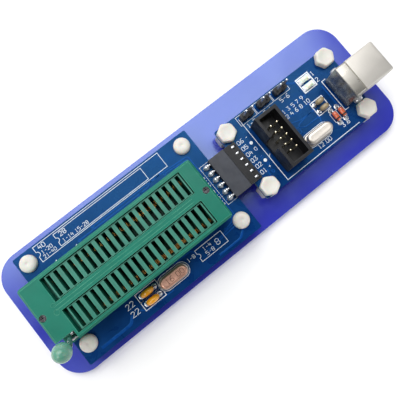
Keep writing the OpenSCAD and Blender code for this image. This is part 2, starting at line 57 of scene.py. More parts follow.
# ---- Where the CAD parts are ----

class Box:
    """A CAD node's box in millimetres."""

    def __init__(self, node):
        lo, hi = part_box(node)
        self.lo, self.hi = lo / MM, hi / MM
        self.mid = (self.lo + self.hi) / 2
        self.size = self.hi - self.lo

    def corners(self, margin):
        """The four corner places on the XY plane, margin in from the box."""
        return [Vector((x, y, 0)) for x in (self.lo.x + margin, self.hi.x - margin)
                for y in (self.lo.y + margin, self.hi.y - margin)]


plate = Box("base_plate")
target = Box("target_board")
prog = Box("programmer_board")
cover = Box("zif_cover")
comb = Box("zif_slider")
contacts = Box("zif_contacts")
shroud = Box("box_shroud")
usb = Box("usb_shell")
board_top = target.hi.z
board_bottom = target.lo.z
on_board = Vector((0, 0, board_top))
tail_z = Box("box_pins").lo.z


# ---- Shapes ----

class Shape:
    """Points in millimetres and faces, gathered into one mesh."""

    def __init__(self):
        self.points, self.faces = [], []

    def add(self, part, at=(0, 0, 0), turn=0.0):
        """Adds (points, faces), turned by turn degrees about Z and moved to at."""
        points, faces = part
        place = Matrix.Translation(at) @ Matrix.Rotation(radians(turn), 4, "Z")
        start = len(self.points)
        self.points += [place @ Vector(p) for p in points]
        self.faces += [[start + i for i in f] for f in faces]
        return self


def loft(rings, ends=(True, True)):
    """Skin over rings that have the same number of points, with flat ends."""
    n = len(rings[0])
    points = [p for ring in rings for p in ring]
    faces = [(k * n + i, k * n + (i + 1) % n, (k + 1) * n + (i + 1) % n, (k + 1) * n + i)
             for k in range(len(rings) - 1) for i in range(n)]
    if ends[0]:
        faces.append(tuple(range(n)))
    if ends[1]:
        faces.append(tuple((len(rings) - 1) * n + i for i in range(n)))
    return points, faces


def angles(sides):
    """Evenly spaced angles once round a circle."""
    return [2 * pi * i / sides for i in range(sides)]


def circle(r, sides, u=0.0, v=0.0):
    """Outline of a circle round (u, v)."""
    return [(u + r * cos(t), v + r * sin(t)) for t in angles(sides)]


def y_ring(r, sides, x, y, z):
    """A circle whose axis lies along Y."""
    return [(px, y, pz) for px, pz in circle(r, sides, x, z)]


def lathe(profile, sides):
    """Skin of revolution about Z from (radius, z) pairs."""
    return loft([level(circle(r, sides), z) for r, z in profile])


def arc(cx, cy, r, start, end, steps=12):
    """Points on an arc, in degrees."""
    turns = [radians(start + (end - start) * k / steps) for k in range(steps + 1)]
    return [(cx + r * cos(t), cy + r * sin(t)) for t in turns]


def oval(length, width):
    """Outline of an oval with straight long sides."""
    r = width / 2
    x = length / 2 - r
    return arc(x, 0, r, -90, 90, 10) + arc(-x, 0, r, 90, 270, 10)


def rounded_rectangle(dx, dy, r, steps=4):
    """Outline of a rectangle with round corners."""
    x, y = dx / 2 - r, dy / 2 - r
    corners = ((x, y, 0), (-x, y, 90), (-x, -y, 180), (x, -y, 270))
    return [p for cx, cy, start in corners for p in arc(cx, cy, r, start, start + 90, steps)]


def hexagon(flats, limit):
    """Outline of a hexagon cut off by a circle of radius limit."""
    out = []
    for t in angles(72):
        from_flat = (t + pi / 6) % (pi / 3) - pi / 6
        r = min(flats / 2 / cos(from_flat), limit)
        out.append((r * cos(t), r * sin(t)))
    return out


def level(outline, z):
    """An outline laid flat at height z."""
    return [(x, y, z) for x, y in outline]


def smooth_path(corners, radius, steps=6):
    """A line through corners with each inner corner rounded off."""
    pts = [Vector(c) for c in corners]
    out = [pts[0]]
    for before, here, after in zip(pts, pts[1:], pts[2:]):
        cut = min(radius, (here - before).length / 2, (after - here).length / 2)
        a = here + (before - here).normalized() * cut
        b = here + (after - here).normalized() * cut
        for k in range(steps + 1):
            t = k / steps
            out.append(a * (1 - t) ** 2 + here * 2 * t * (1 - t) + b * t * t)
    return out + [pts[-1]]


def tube(path, radius, sides=12, square=False):
    """A wire along path; a square wire has flat sides and eased corners."""
    if square:
        section = rounded_rectangle(2 * radius, 2 * radius, radius * 0.2, 2)
    else:
        section = circle(radius, sides)
    pts = [Vector(p) for p in path]
    side = Vector((0, 1, 0))
    rings = []
    for i, p in enumerate(pts):
        ahead = (pts[min(i + 1, len(pts) - 1)] - pts[max(i - 1, 0)]).normalized()
        if abs(ahead.dot(side)) > 0.9 and i == 0:
            side = Vector((1, 0, 0))
        side = (side - ahead * side.dot(ahead)).normalized()
        other = ahead.cross(side)
        rings.append([p + side * u + other * v for u, v in section])
    return loft(rings)


def ribbon(line, width, z0, z1, closed=False):
    """A thin raised strip along a line of (x, y) points."""
    pts = [Vector(p) for p in line]
    n = len(pts)
    rings = []
    for i, p in enumerate(pts):
        back = p - pts[i - 1] if closed or i > 0 else pts[i + 1] - p
        on = pts[(i + 1) % n] - p if closed or i < n - 1 else p - pts[i - 1]
        back, on = back.normalized(), on.normalized()
        across = Vector((-back.y - on.y, back.x + on.x))
        if across.length < 1e-6:
            across = Vector((-back.y, back.x))
        across.normalize()
        across *= width / 2 / max(across.dot(Vector((-back.y, back.x))), 0.5)
        rings.append([(p.x + across.x * s, p.y + across.y * s, z)
                      for s, z in ((1, z0), (-1, z0), (-0.75, z1), (0.75, z1))])
    if closed:
        return loft(rings + [rings[0]], (False, False))
    return loft(rings)


def slab(dx, dy, z0, z1, ease):
    """A block with eased upright and top edges."""
    inner = rounded_rectangle(dx - 2 * ease, dy - 2 * ease, ease)
    outer = rounded_rectangle(dx, dy, ease * 1.5)
    return loft([level(outer, z0), level(outer, z1 - ease), level(inner, z1)])


# ---- Finishes ----

def srgb(r, g, b):
    """A colour from 0-255 display values to the linear values that shaders take."""
    out = []
    for v in (r, g, b):
        v /= 255
        out.append(v / 12.92 if v <= 0.04045 else ((v + 0.055) / 1.055) ** 2.4)
    return (*out, 1.0)


def shade(colour, factor):
    """A lighter or darker copy of a colour."""
    return (*(min(1.0, c * factor) for c in colour[:3]), 1.0)


class Finish:
    """Builds one procedural material step by step."""

    def __init__(self, name):
        self.material = bpy.data.materials.new(name)
        self.material.use_nodes = True
        self.tree = self.material.node_tree
        self.shader = self.tree.nodes["Principled BSDF"]
        self.coordinates = self.tree.nodes.new("ShaderNodeTexCoord").outputs

    def feed(self, node, inputs):
        """Links each socket in inputs to its place on node, and sets each plain value."""
        for key, value in inputs.items():
            if isinstance(value, bpy.types.NodeSocket):
                self.tree.links.new(value, node.inputs[key])
            else:
                node.inputs[key].default_value = value

    def node(self, kind, inputs, output=0, **settings):
        """Adds a node with its settings, fed by inputs, and returns one of its outputs."""
        made = self.tree.nodes.new(kind)
        for key, value in settings.items():
            setattr(made, key, value)
        self.feed(made, inputs)
        return made.outputs[output]

    def noise(self, size_mm, detail, stretch=(1, 1, 1), distortion=0.0):
        """Cloudy noise whose lumps are about size_mm across."""
        place = self.node("ShaderNodeMapping", {
            "Vector": self.coordinates["Object"], "Scale": [s / (size_mm * MM) for s in stretch]})
        return self.node("ShaderNodeTexNoise", {
            "Vector": place, "Scale": 1.0, "Detail": detail, "Distortion": distortion})

    def spread(self, value, low, high, out_low, out_high):
        """Maps value from low..high to out_low..out_high."""
        return self.node("ShaderNodeMapRange", {
            "Value": value, "From Min": low, "From Max": high,
            "To Min": out_low, "To Max": out_high})

    def mix(self, share, a, b):
        """Colour a where share is 0, b where it is 1; each is a colour or a socket."""
        # A colour mix takes its colours in sockets 6 and 7, and gives its result in socket 2
        return self.node("ShaderNodeMix", {"Factor": share, 6: a, 7: b}, 2, data_type="RGBA")

    def edges(self, radius_mm):
        """1 near sharp edges and 0 on flats."""
        rounded = self.node("ShaderNodeBevel", {"Radius": radius_mm * MM}, samples=4)
        real = self.node("ShaderNodeNewGeometry", {}, "Normal")
        dot = self.node(
            "ShaderNodeVectorMath", {0: rounded, 1: real}, "Value", operation="DOT_PRODUCT")
        return self.spread(dot, 0.999, 0.93, 0.0, 1.0)

    def upright(self):
        """1 on upright faces and 0 on level ones."""
        z = self.node("ShaderNodeSeparateXYZ", {"Vector": self.coordinates["Normal"]}, "Z")
        size = self.node("ShaderNodeMath", {0: z}, operation="ABSOLUTE")
        return self.spread(size, 0.75, 0.25, 0.0, 1.0)

    def times(self, a, b):
        """The product of two values."""
        return self.node("ShaderNodeMath", {0: a, 1: b}, operation="MULTIPLY")

    def bump(self, heights):
        """Adds bumps; heights is (value, height in mm) pairs."""
        normal = {}
        for value, height in heights:
            normal = {"Normal": self.node("ShaderNodeBump", {
                "Strength": 1.0, "Distance": height * MM, "Height": value, **normal})}
        self.feed(self.shader, normal)


def surface(name, colour, rough, metal, mottle, mottle_mm, grain_mm, grain_height,
            gloss_spread=0.12, stretch=(1, 1, 1), worn=None, worn_mm=0.0, side=None, lumps=0.0,
            **sockets):
    """A material with mottled colour, uneven gloss and grain.

    The lighter colour given for sharp edges, with its width in mm, is a painted highlight along them
    in patches; side is a painted lighter colour for upright faces, where light catches them; sockets
    go to the shader.
    """
    f = Finish(name)
    cloud = f.noise(mottle_mm, 4.0, distortion=0.6)
    colour_now = f.mix(f.spread(cloud, 0.3, 0.7, 0.0, 1.0),
                       shade(colour, 1 - mottle), shade(colour, 1 + mottle))
    # Upright faces take the side colour: painted light where it catches the edges
    if side:
        colour_now = f.mix(f.upright(), colour_now, side)
    # Painted highlights along sharp edges, broken into patches by noise
    if worn:
        patchy = f.spread(f.noise(mottle_mm * 0.4, 4.0), 0.35, 0.6, 0.25, 0.9)
        colour_now = f.mix(f.times(f.edges(worn_mm), patchy), colour_now, worn)
    grain = f.noise(grain_mm, 2.0, stretch)
    smear = f.noise(mottle_mm * 0.7, 5.0, stretch, 1.0)
    gloss = f.spread(smear, 0.3, 0.7, max(rough - gloss_spread, 0.02), rough + gloss_spread)
    heights = [(grain, grain_height)]
    if lumps:
        heights.append((f.noise(mottle_mm * 0.3, 2.0), lumps))
    f.bump(heights)
    f.feed(f.shader, {"Base Color": colour_now, "Roughness": gloss, "Metallic": metal})
    f.feed(f.shader, {key.replace("_", " "): value for key, value in sockets.items()})
    return f.material


# The glint of the boards' lacquer
LACQUER = dict(Coat_Weight=0.03, Coat_Roughness=0.14, Specular_IOR_Level=0.45,
               Specular_Tint=(0.12, 0.55, 1.0, 1.0))

# Each row: slot, material, colour, then surface()'s rough, metal, mottle, mottle_mm, grain_mm and
# grain_height, and last what only this finish has
# A lighter edge colour in a row is a painted highlight along that finish's sharp edges
FINISHES = (
    # side paints the plate's upright faces a brighter blue, a painted edge glow
    ("blue_acrylic", "tinted_acrylic", (40, 43, 170), 0.2, 0, 0.05, 22, 1.4, 0.002,
     dict(gloss_spread=0.05, side=srgb(60, 70, 200), IOR=1.6, Specular_IOR_Level=1.0,
          Specular_Tint=(0.62, 0.82, 1.0, 1.0))),
    # side paints the board edges lighter, a painted glint
    ("blue_board", "solder_mask", (3, 42, 100), 0.3, 0, 0.16, 9, 0.25, 0.004,
     dict(gloss_spread=0.08, side=srgb(96, 120, 132), **LACQUER)),
    ("mask_over_copper", "mask_over_copper", (12, 64, 138), 0.28, 0, 0.12, 6, 0.2, 0.004, LACQUER),
    ("white_print", "white_print", (232, 238, 244), 0.6, 0, 0.12, 0.9, 0.12, 0.012, {}),
    ("green_plastic", "moulded_green", (9, 109, 90), 0.38, 0, 0.09, 9, 0.3, 0.012,
     dict(worn=srgb(96, 176, 146), worn_mm=0.22, lumps=0.02, Specular_IOR_Level=0.26)),
    ("pale_green_plastic", "moulded_pale_green", (32, 116, 98), 0.42, 0, 0.12, 4, 0.3, 0.012,
     dict(worn=srgb(104, 172, 148), worn_mm=0.14)),
    ("copper_contact", "plated_contact", (244, 176, 92), 0.34, 0.75, 0.25, 2, 0.12, 0.006, {}),
    ("bright_steel", "plated_steel", (196, 198, 202), 0.24, 1, 0.1, 2.5, 0.1, 0.003,
     dict(stretch=(1, 1, 0.15))),
    ("pale_green_knob", "moulded_knob", (90, 146, 126), 0.3, 0, 0.08, 3, 0.5, 0.014,
     dict(Subsurface_Weight=0.35, Subsurface_Scale=0.0015, Coat_Weight=0.3, Coat_Roughness=0.2)),
    ("dark_steel", "blackened_steel", (66, 66, 70), 0.34, 0.9, 0.3, 0.8, 0.1, 0.01,
     dict(worn=srgb(150, 150, 152), worn_mm=0.1)),
    ("yellow_ceramic", "dipped_yellow", (232, 158, 22), 0.22, 0, 0.22, 1.8, 0.4, 0.02,
     dict(Coat_Weight=0.5, Coat_Roughness=0.12)),
    ("tan_ceramic", "dipped_tan", (150, 134, 104), 0.3, 0, 0.2, 1.4, 0.3, 0.02,
     dict(Coat_Weight=0.4, Coat_Roughness=0.15)),
    ("tinned_wire", "tinned_metal", (214, 216, 220), 0.26, 1, 0.12, 1.2, 0.15, 0.012, {}),
    ("crystal_can", "satin_can", (212, 205, 196), 0.34, 0.8, 0.05, 4, 0.2, 0.0004,
     dict(gloss_spread=0.04, stretch=(0.5, 1, 1))),
    ("rosy_can", "rosy_can", (206, 160, 140), 0.36, 0.75, 0.12, 3, 0.16, 0.006,
     dict(stretch=(0.25, 1, 1))),
    ("black_plastic", "moulded_black", (14, 15, 19), 0.42, 0, 0.2, 4, 0.22, 0.014,
     dict(worn=srgb(84, 86, 94), worn_mm=0.12, Specular_IOR_Level=0.35)),
    ("grey_black_plastic", "moulded_grey_black", (44, 48, 58), 0.5, 0, 0.14, 3, 0.2, 0.02,
     dict(worn=srgb(104, 106, 114), worn_mm=0.12)),
    ("gold_pin", "gold_plate", (238, 228, 198), 0.22, 1, 0.1, 1.5, 0.1, 0.004, {}),
    ("clear_lens", "milky_lens", (236, 240, 226), 0.22, 0, 0.08, 1, 0.3, 0.01,
     dict(Subsurface_Weight=0.4, Subsurface_Scale=0.0008, Coat_Weight=0.5, Coat_Roughness=0.08)),
    ("orange_glass", "orange_glass", (228, 108, 66), 0.1, 0, 0.25, 0.9, 0.5, 0.012,
     dict(Coat_Weight=0.8, Coat_Roughness=0.04, Transmission_Weight=0.25)),
    ("shell_metal", "satin_shell", (206, 202, 195), 0.42, 0.7, 0.05, 7, 0.16, 0.0012,
     dict(gloss_spread=0.06, stretch=(0.3, 1, 1), worn=srgb(240, 237, 230), worn_mm=0.2)),
    ("dark_shell", "shadowed_shell", (124, 126, 128), 0.24, 0.7, 0.2, 3, 0.5, 0.002,
     dict(gloss_spread=0.08, stretch=(1, 1, 0.3))),
    ("band_metal", "band_metal", (164, 161, 154), 0.3, 0.85, 0.08, 5, 0.16, 0.0012,
     dict(gloss_spread=0.06, stretch=(0.3, 1, 1))),
    ("white_nylon", "white_nylon", (212, 209, 202), 0.42, 0, 0.05, 2.5, 0.35, 0.016,
     dict(Subsurface_Weight=0.3, Subsurface_Scale=0.0012)),
    ("solder", "solder", (228, 230, 234), 0.32, 0.72, 0.16, 0.8, 0.35, 0.03, {}),
    ("brown_stamp", "brown_stamp", (96, 56, 40), 0.55, 0, 0.2, 0.5, 0.1, 0.01, {}),
    ("floor", "pale_floor", (248, 248, 248), 0.55, 0, 0.012, 60, 2.5, 0.02, {}),
)
finishes = {key: surface(material, srgb(*colour), *numbers, **rest)
            for key, material, colour, *numbers, rest in FINISHES}


# ---- Pieces ----

def add_mesh(name, data, finish):
    """Puts a mesh with its finish into the scene."""
    data.materials.append(finishes[finish])
    obj = bpy.data.objects.new(name, data)
    bpy.context.scene.collection.objects.link(obj)
    return obj


def piece(name, shape, finish, replaces=None, slot=None, body="base", sharp=38):
    """Turns a Shape into a mesh piece that rides on a CAD body.

    slot is not used.
    """
    data = bpy.data.meshes.new(name)
    data.from_pydata([p * MM for p in shape.points], [], shape.faces)
    work = bmesh.new()
    work.from_mesh(data)
    bmesh.ops.recalc_face_normals(work, faces=work.faces)
    work.to_mesh(data)
    work.free()
    data.shade_smooth()
    data.set_sharp_from_angle(angle=radians(sharp))
    obj = add_mesh(name, data, finish)
    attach(obj, body)
    if slot is None:
        slot = finish
    if replaces:
        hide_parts(replaces)


def dress(node, finish, ease):
    """Gives a CAD node its finish, and eases its sharp edges by ease millimetres."""
    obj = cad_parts[node]
    obj.data.materials.clear()
    obj.data.materials.append(finishes[finish])
    for name, kind, settings in (
            ("weld", "WELD", {"merge_threshold": 0.002 * MM}),
            ("flat", "DECIMATE", {"decimate_type": "DISSOLVE", "angle_limit": radians(1)}),
            ("ease", "BEVEL", {
                "width": ease * MM, "segments": 2, "limit_method": "ANGLE",
                "angle_limit": radians(35)}),
            ("normals", "WEIGHTED_NORMAL", {"weight": 60})):
        modifier = obj.modifiers.new(name, kind)
        for key, value in settings.items():
            setattr(modifier, key, value)


def dress_cad_nodes():
    """CAD nodes that are shown as they are: their finish, and how much their edges are eased."""
    for finish, nodes in (
            ("blue_acrylic", {"base_plate": 0.25}),
            ("white_nylon", {"spacers": 0.12, "plate_screws": 0.06}),
            ("blue_board", {"target_board": 0.06, "programmer_board": 0.06}),
            ("green_plastic", {"zif_base": 0.12, "zif_cover": 0.16}),
            ("pale_green_plastic", {"zif_slider": 0.1}), ("bright_steel", {"cam_shaft": 0.08}),
            ("dark_steel", {"zif_screws": 0.05}), ("grey_black_plastic", {"socket_strip": 0.1}),
            ("black_plastic", {
                "pin_strip": 0.08, "box_shroud": 0.14, "jumper_blocks": 0.08, "usb_insert": 0.08,
                "controller_chip": 0.06, "chip_resistors": 0.03}),
            ("gold_pin", {"box_pins": 0.04, "usb_contacts": 0.03}),
            ("tinned_wire", {"jumper_pins": 0.04, "chip_legs": 0.02})):
        for node, ease in nodes.items():
            dress(node, finish, ease)


def screw_heads():
    """Four round heads on the target board and four hexagon heads on the programmer board."""
    box = Box("round_screws")
    half_spacing = 31.5
    r, top = box.size.x / 2 - half_spacing, box.hi.z - board_top
    shoulder, rounding = 0.8, 1.6
    profile = [(r - 0.15, 0), (r, 0.15), (r, shoulder)]
    for k in range(1, 7):
        t = radians(90 * k / 6)
        profile.append((r - rounding + rounding * cos(t),
                        shoulder + (top - shoulder) * sin(t)))
    # A shallow dimple from the mould
    profile += [(0.55, top - 0.01), (0.35, top - 0.12), (0.02, top - 0.16)]
    domes = Shape()
    for corner in box.corners(r):
        domes.add(lathe(profile, 40), corner + on_board)
    piece("round_heads", domes, "white_nylon", "round_screws")

    box = Box("hex_screws")
    flats = 6.2
    half, point = flats / 2, flats / 2 / cos(radians(30))
    rings = [level(hexagon(flats - 0.2, point - 0.25), board_top),
             level(hexagon(flats, point - 0.12), board_top + 0.12)]
    for across, limit, depth in (
            (flats, point - 0.12, 0.75), (flats - 0.05, half + 0.22, 0.35),
            (flats - 0.35, half - 0.1, 0.08), (flats - 0.8, half - 0.42, 0.0),
            (4.2, 2.1, 0.01), (3.6, 1.8, 0.1), (0.6, 0.3, 0.14)):
        rings.append(level(hexagon(across, limit), box.hi.z - depth))
    # The left pair stands with corners across the board, the right pair along it
    heads = Shape()
    for x, turn in ((box.lo.x + half, 0), (box.hi.x - point, 30)):
        for side in (-1, 1):
            heads.add(loft(rings), (x, box.mid.y + side * (box.size.y / 2 - point), 0), turn)
    piece("hex_heads", heads, "white_nylon", "hex_screws")


def oval_stack(box, steps):
    """Ovals stacked in a node's box, from (how much smaller than the box, z) pairs."""
    rings = [level(oval(box.size.x - less, box.size.y - less), z) for less, z in steps]
    return Shape().add(loft(rings), (box.mid.x, box.mid.y, 0))


def oval_can(name, node, finish):
    """Pressed can with rounded lid edge, standing on its flange."""
    box = Box(node)
    edge = 0.75
    steps = [(0.1, box.lo.z), (0.0, box.lo.z + 0.1)]
    for k in range(7):
        t = radians(90 * k / 6)
        steps.append((2 * edge * (1 - cos(t)), box.hi.z - edge + edge * sin(t)))
    steps.append((2.4, box.hi.z - 0.02))
    piece(name, oval_stack(box, steps), finish, node, "crystal_can")


def oval_foot(name, node):
    """Rolled flange under a can, with its two leads."""
    box = Box(node)
    top = board_top + 0.42
    half_pitch = 2.44
    shape = oval_stack(box, [(0.3, board_top + 0.02), (0.0, board_top + 0.12), (0.0, top - 0.12),
                             (0.25, top), (1.2, top + 0.03)])
    for side in (-1, 1):
        x = box.mid.x + side * half_pitch
        shape.add(tube([(x, box.mid.y, tail_z), (x, box.mid.y, board_top + 0.1)], 0.22))
    piece(name, shape, "crystal_can", node)


def crystals():
    """Both crystals, and the value stamped on the target board's."""
    for board, finish in (("programmer", "crystal_can"), ("target", "rosy_can")):
        oval_can(f"{board}_crystal_can", f"{board}_crystal", finish)
        oval_foot(f"{board}_crystal_flange", f"{board}_crystal_foot")
    box = Box("target_crystal")
    stamp = Shape()
    write(stamp, "16.00", box.mid.x - 3.0, box.mid.y - 0.85, 1.7, 0.20, box.hi.z - 0.03, box.hi.z)
    piece("target_crystal_stamp", stamp, "brown_stamp", slot="")


def dipped_disc(shape, x, y, z, r, half_thick, lead_x, low):
    """A dipped disc that stands on edge, with the dip running down its leads."""
    rings = []
    layers = 14
    for k in range(layers + 1):
        t = -pi / 2 + pi * k / layers
        ring_r = r * cos(t) ** 0.55 if abs(t) < pi / 2 - 1e-6 else r * 0.02
        ring = []
        for a in angles(28):
            reach = ring_r * (1 + 0.015 * sin(3 * a + z) + 0.01 * sin(7 * a + x))
            ring.append((x + reach * cos(a), y + half_thick * sin(t),
                         z + reach * sin(a)))
        rings.append(ring)
    shape.add(loft(rings))
    for s in (-1, 1):
        skirt = [(x + s * lead_x * 0.55, y, z - r * 0.55), (x + s * lead_x * 0.75, y, z - r * 0.8),
                 (x + s * lead_x * 0.95, y, low + 0.15)]
        rings = []
        for p, reach in zip(smooth_path(skirt, 0.4, 4), (0.55, 0.55, 0.52, 0.48, 0.44, 0.38, 0.3)):
            rings.append([(p.x + reach * cos(a), p.y + reach * 0.8 * sin(a), p.z)
                          for a in angles(12)])
        shape.add(loft(rings))


def bent_lead(wires, x, y, side):
    """A lead that leans out from its disc to its hole, with its solder."""
    wires.add(tube(smooth_path([(x, y, tail_z), (x, y, board_top + 0.5),
                                (x - side * 0.9, y, board_top + 1.6)], 0.5), 0.24))
    wires.add(solder_mound(0.75, 0.45), (x, y, board_top))


def straight_lead(wires, x, y, side):
    """An upright lead, with its solder drawn outwards."""
    wires.add(tube([(x, y, tail_z), (x, y, board_top + 1.0)], 0.22))
    wires.add(solder_mound(0.85, 0.4), (x + side * 0.3, y, board_top))


def capacitors():
    """Two yellow discs on the target board and two tan ones on the programmer board."""
    for colour, node, wire_node, lead, wire_in, dip_in, dip_low, end_in, half_thick, play in (
            ("yellow", "disc_capacitors", "disc_leads", bent_lead, 0.27, 0.3, 0.45, 1.15, 1.12, 0.05),
            ("tan", "small_capacitors", "small_leads", straight_lead, 0.24, 0.24, 0.2, 0.95, 0.92,
             0.04)):
        box = Box(node)
        half_wire = Box(wire_node).size.x / 2
        r = box.size.x / 2 - play
        discs, wires = Shape(), Shape()
        for y in (box.lo.y + end_in, box.hi.y - end_in):
            dipped_disc(discs, box.mid.x, y, box.hi.z - r - play, r, half_thick,
                        half_wire - dip_in, board_top + dip_low)
            for side in (-1, 1):
                lead(wires, box.mid.x + side * (half_wire - wire_in), y, side)
        piece(f"{colour}_discs", discs, f"{colour}_ceramic", node)
        piece(f"{colour}_disc_leads", wires, "tinned_wire", wire_node)


def diodes():
    """Two glass diodes: a glass sleeve, a dark band round it, the wire, and soldered ends."""
    box = Box("diode_glass")
    glass, bands, wires = Shape(), Shape(), Shape()
    y_mid, z = box.mid.y, box.mid.z
    end = Box("diode_leads").size.y / 2 - 0.24
    for x in (box.lo.x + 0.9, box.hi.x - 0.9):
        rings = []
        for k in range(13):
            t = -1 + 2 * k / 12
            r = 0.86 * (1 - 0.45 * abs(t) ** 6)
            rings.append(y_ring(r, 20, x, y_mid + box.size.y / 2 * t, z))
        glass.add(loft(rings))
        bands.add(loft([y_ring(r, 20, x, y_mid + y, z) for y, r in
                        ((-1.22, 0.82), (-1.18, 0.885), (-0.72, 0.89), (-0.68, 0.82))]))
        path = [(x, y_mid - end, tail_z), (x, y_mid - end, z), (x, y_mid + end, z),
                (x, y_mid + end, tail_z)]
        wires.add(tube(smooth_path(path, 0.45), 0.23))
        for side in (-1, 1):
            wires.add(solder_mound(0.85, 0.75), (x, y_mid + side * end, board_top))
    piece("glass_diodes", glass, "orange_glass", "diode_glass")
    piece("diode_bands", bands, "black_plastic")
    piece("diode_wires", wires, "tinned_wire", "diode_leads")


def lamps():
    """Two white lamps: a moulded body with a domed window, metal ends, and the pads they lie on."""
    box = Box("status_lamps")
    bodies, ends = Shape(), Shape()
    window = rounded_rectangle(2.6, 1.45, 0.3)
    sill, dome = 0.9, 0.68
    for y in (box.lo.y + 0.95, box.hi.y - 0.95):
        at = (box.mid.x, y, board_top)
        bodies.add(slab(box.size.x - 0.9, 1.9, 0.02, 0.95, 0.12), at)
        rings = [level(window, sill)]
        for k in range(1, 6):
            t = radians(90 * k / 6)
            rings.append([(px * cos(t), py * cos(t), sill + dome * sin(t))
                          for px, py in window])
        bodies.add(loft(rings), at)
        for side in (-1, 1):
            for inset, *sizes in (
                    (0.38, 0.75, 1.75, 0.02, 0.6, 0.12), (0.45, 1.5, 2.2, 0.01, 0.16, 0.07)):
                x = box.mid.x + side * (box.size.x / 2 - inset)
                ends.add(slab(*sizes), (x, y, board_top))
    piece("lamp_bodies", bodies, "clear_lens", "status_lamps")
    piece("lamp_ends", ends, "solder", slot="tinned_wire")


def solder_mound(r, height):
    """A solder fillet round a lead: concave sides and an uneven foot."""
    steps = 6
    rings = []
    phase = rng.uniform(0, 6)
    for k in range(steps + 1):
        t = k / steps
        reach = r * (0.32 + 0.68 * (1 - t) ** 1.8)
        rings.append([(reach * (1 + 0.06 * (1 - t) * sin(2 * a + phase)) * cos(a),
                       reach * sin(a), height * t) for a in angles(16)])
    return loft(rings)


def solder_blob(length, width, height):
    """A thick bead of solder that wraps a bent pin."""
    rings = []
    phase = rng.uniform(0, 6)
    for k in range(7):
        t = radians(88 * k / 6)
        grow = cos(t) ** 0.7
        rings.append([(length / 2 * grow * (1 + 0.08 * sin(2 * a + phase)) * cos(a),
                       width / 2 * grow * (1 + 0.05 * cos(3 * a + phase)) * sin(a),
                       height * sin(t)) for a in angles(20)])
    return loft(rings)


def link_rows():
    """Y places of the six ways of the link between the boards."""
    mid = Box("socket_strip").mid.y
    return [mid + (i - 2.5) * PITCH for i in range(6)]


def link_legs():
    """X places of the link's legs, on the target board and on the programmer board."""
    return Box("socket_strip_pins").lo.x + 0.3, Box("pin_strip_pins").hi.x - 0.32


def link_pins():
    """Bent contacts on both sides of the plug link, with their solder."""
    sockets = Box("socket_strip_pins")
    leg_in, leg_out = link_legs()
    x_out = Box("pin_strip_pins").lo.x
    z = sockets.hi.z - 0.3
    left, right, beads, mounds = Shape(), Shape(), Shape(), Shape()
    for y in link_rows():
        for wires, leg, end, bend, half in (
                (left, leg_in, sockets.hi.x, 0.6, 0.29), (right, leg_out, x_out, 0.7, 0.31)):
            path = smooth_path([(leg, y, tail_z), (leg, y, z), (end, y, z)], bend)
            wires.add(tube(path, half, square=True))
        beads.add(solder_blob(2.5, 1.95, 1.6), (leg_in - 0.1, y, board_top))
        beads.add(solder_blob(1.3, 1.1, 0.55), (leg_in + 0.5, y + 0.1, board_top + 1.4))
        mounds.add(solder_mound(0.62, 0.5), (leg_out + 0.25, y, board_top))
    piece("socket_bent_pins", left, "tinned_wire", "socket_strip_pins")
    piece("strip_bent_pins", right, "tinned_wire", "pin_strip_pins")
    piece("link_solder_beads", beads, "solder", slot="tinned_wire", sharp=60)
    piece("strip_solder", mounds, "solder", slot="tinned_wire", sharp=60)


def contact_places():
    """Where the socket's forty contacts stand, as (x, y) pairs."""
    count = round((contacts.size.x - 1.2) / PITCH) + 1
    return [(contacts.mid.x + (i - (count - 1) / 2) * PITCH,
             contacts.mid.y + side * (contacts.size.y / 2 - 0.75))
            for side in (-1, 1) for i in range(count)]


def socket_contacts():
    """Forked spring contacts: two leaves that lean in and flare at the mouth, and a leg."""
    top = contacts.hi.z
    foot = board_top + 2.2
    section = ((-0.07, -0.7), (0.07, -0.7), (0.07, 0.7), (-0.07, 0.7))
    forks = Shape()
    for x, y in contact_places():
        for s in (-1, 1):
            leaf = [(x + s * out, z) for out, z in
                    ((0.42, foot), (0.5, foot + 1.6), (0.2, top - 1.1), (0.52, top))]
            forks.add(loft([[(p.x + dx, y + dy, p.y) for dx, dy in section]
                            for p in smooth_path(leaf, 1.2, 4)]))
        forks.add(slab(1.15, 1.4, foot - 0.25, foot + 0.15, 0.06), (x, y, 0))
        forks.add(tube([(x, y, contacts.lo.z), (x, y, foot)], 0.25, square=True))
    piece("forked_contacts", forks, "copper_contact", "zif_contacts")


def lever():
    """Bent wire with its eye round the shaft, and an egg-shaped knob."""
    arm = Box("lever_arm")
    knob = Box("lever_knob")
    pivot = Vector((arm.mid.x, 0, arm.lo.z + 1.65))
    eye_y = Box("cam_shaft").lo.y + 0.9
    rings = [y_ring(r, 36, pivot.x, eye_y + y, pivot.z) for r, y in
             ((1.03, -0.85), (1.5, -0.9), (1.62, -0.75), (1.62, 0.75), (1.5, 0.9), (1.03, 0.85))]
    shape = Shape().add(loft(rings + rings[:1], (False, False)))
    path = [(pivot.x, eye_y, pivot.z + 1.3), (pivot.x, eye_y, pivot.z + 8.2),
            (pivot.x, knob.mid.y, pivot.z + 10.6), (pivot.x, knob.mid.y, knob.mid.z)]
    shape.add(tube(smooth_path(path, 1.6, 8), 0.74, 18))
    piece("bent_lever_wire", shape, "bright_steel", "lever_arm", body="lever")

    # The egg is widest below its middle, with a short collar where the wire goes in
    r, height = knob.size.x / 2 - 0.02, knob.size.z
    profile = [(0.8, 0.0), (1.1, 0.02), (1.18, 0.14), (1.16, 0.35)]
    for k in range(1, 19):
        t = pi * (0.14 + 0.86 * k / 18)
        swell = sin(t) ** 0.92 * (1 + 0.07 * cos(t))
        profile.append((max(r * swell * 0.995, 0.03), 0.1 + (height - 0.12) * (1 - cos(t)) / 2))
    egg = Shape().add(lathe(profile, 40), (knob.mid.x, knob.mid.y, knob.lo.z))
    piece("egg_knob", egg, "pale_green_knob", "lever_knob", body="lever", sharp=60)


